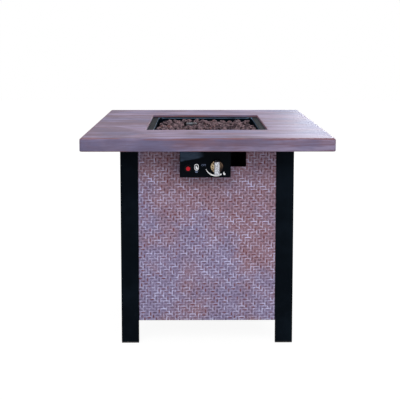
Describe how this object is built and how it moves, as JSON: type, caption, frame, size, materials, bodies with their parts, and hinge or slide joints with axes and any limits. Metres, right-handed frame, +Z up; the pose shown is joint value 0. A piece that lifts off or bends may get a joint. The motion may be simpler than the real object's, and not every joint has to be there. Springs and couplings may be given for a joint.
{
  "type": "gas fire pit table",
  "caption": "Square free-standing propane fire table with woven-look side panels, faux-wood steel top, lava-rock burner recess, hinged rear door and front gas control box.",
  "frame": {"origin": "on the floor, under the middle of the square top", "axes": "+Z up, front with the control box towards -Y, +X to the right seen from the front"},
  "size_m": [0.711, 0.711, 0.63],
  "materials": {
    "top_finish": "faux-wood print on steel, satin",
    "leg_black": "satin black powder coat",
    "frame_black": "matt black powder coat",
    "woven_finish": "bronze brown, woven relief",
    "box_black": "satin black powder coat",
    "pan_black": "heat-proof black, satin",
    "foot_plastic": "black moulded plastic",
    "screw_black": "black screws",
    "zinc": "zinc plate",
    "stainless": "stainless steel, heat tinted",
    "chrome": "polished",
    "brass": "turned",
    "alloy": "die cast",
    "copper": "drawn tube",
    "ceramic": "white glazed ceramic",
    "lead_sleeve": "silicone sleeve",
    "black_plastic": "moulded",
    "button_red": "moulded, satin",
    "lava": "rough porous rock"
  },
  "bodies": {
    "table": {"air_mixer": "stainless", "base_shelf": "frame_black", "box_screws": "screw_black", "burner_nut": "zinc", "burner_pan": "pan_black", "control_box": "box_black", "door_magnet": "black_plastic", "feed_tube": "alloy", "flame_hood": "stainless", "front_panel": "woven_finish", "gas_orifice": "brass", "hinge_leg_leaves": "frame_black", "hinge_pins": "zinc", "igniter_body": "black_plastic", "igniter_bracket": "stainless", "igniter_nut": "black_plastic", "ignition_lead": "lead_sleeve", "inlet_fitting": "brass", "lava_rocks": "lava", "lead_clips": "zinc", "left_panel": "woven_finish", "leg_feet": "foot_plastic", "leg_front_left": "leg_black", "leg_front_right": "leg_black", "leg_rear_left": "leg_black", "leg_rear_right": "leg_black", "lower_rail_front": "frame_black", "lower_rail_left": "frame_black", "lower_rail_rear": "frame_black", "lower_rail_right": "frame_black", "rail_bolts": "screw_black", "right_panel": "woven_finish", "ring_burner": "stainless", "spark_electrode": "ceramic", "tabletop": "top_finish", "tank_ring": "frame_black", "thermocouple": "stainless", "thermocouple_lead": "copper", "top_braces": "frame_black", "top_screws": "screw_black", "tube_nuts": "brass", "upper_rail_front": "frame_black", "upper_rail_left": "frame_black", "upper_rail_rear": "frame_black", "upper_rail_right": "frame_black", "valve_body": "alloy", "valve_bonnet": "alloy"},
    "stem_slide": {"stem_collar": "zinc", "stem_spring": "zinc"},
    "knob": {"control_knob": "chrome", "valve_stem": "brass"},
    "button": {"igniter_button": "button_red"},
    "door": {"rear_door": "woven_finish", "hinge_door_leaves": "frame_black", "door_pull": "leg_black", "catch_plate": "zinc"},
    "tank_clamp": {"tank_screw": "zinc"}
  },
  "joints": [
    {"name": "knob_press", "type": "slide", "parent": "table", "child": "stem_slide", "axis": [0, 1, 0], "range_m": [0, 0.003], "stiffness_N_per_m": 1500, "springref_m": -0.002, "deforming": ["stem_spring"]},
    {"name": "knob_turn", "type": "hinge", "parent": "stem_slide", "child": "knob", "pos_m": [0.027, -0.3, 0.541], "axis": [0, -1, 0], "range_deg": [0, 210]},
    {"name": "igniter_press", "type": "slide", "parent": "table", "child": "button", "axis": [0, 1, 0], "range_m": [0, 0.004], "stiffness_N_per_m": 2000, "springref_m": -0.002},
    {"name": "door_hinge", "type": "hinge", "parent": "table", "child": "door", "pos_m": [0.201, 0.2569, 0.33], "axis": [0, 0, -1], "range_deg": [0, 110]},
    {"name": "tank_screw_feed", "type": "slide", "parent": "table", "child": "tank_clamp", "axis": [0, -1, 0], "range_m": [0, 0.008]}
  ]
}
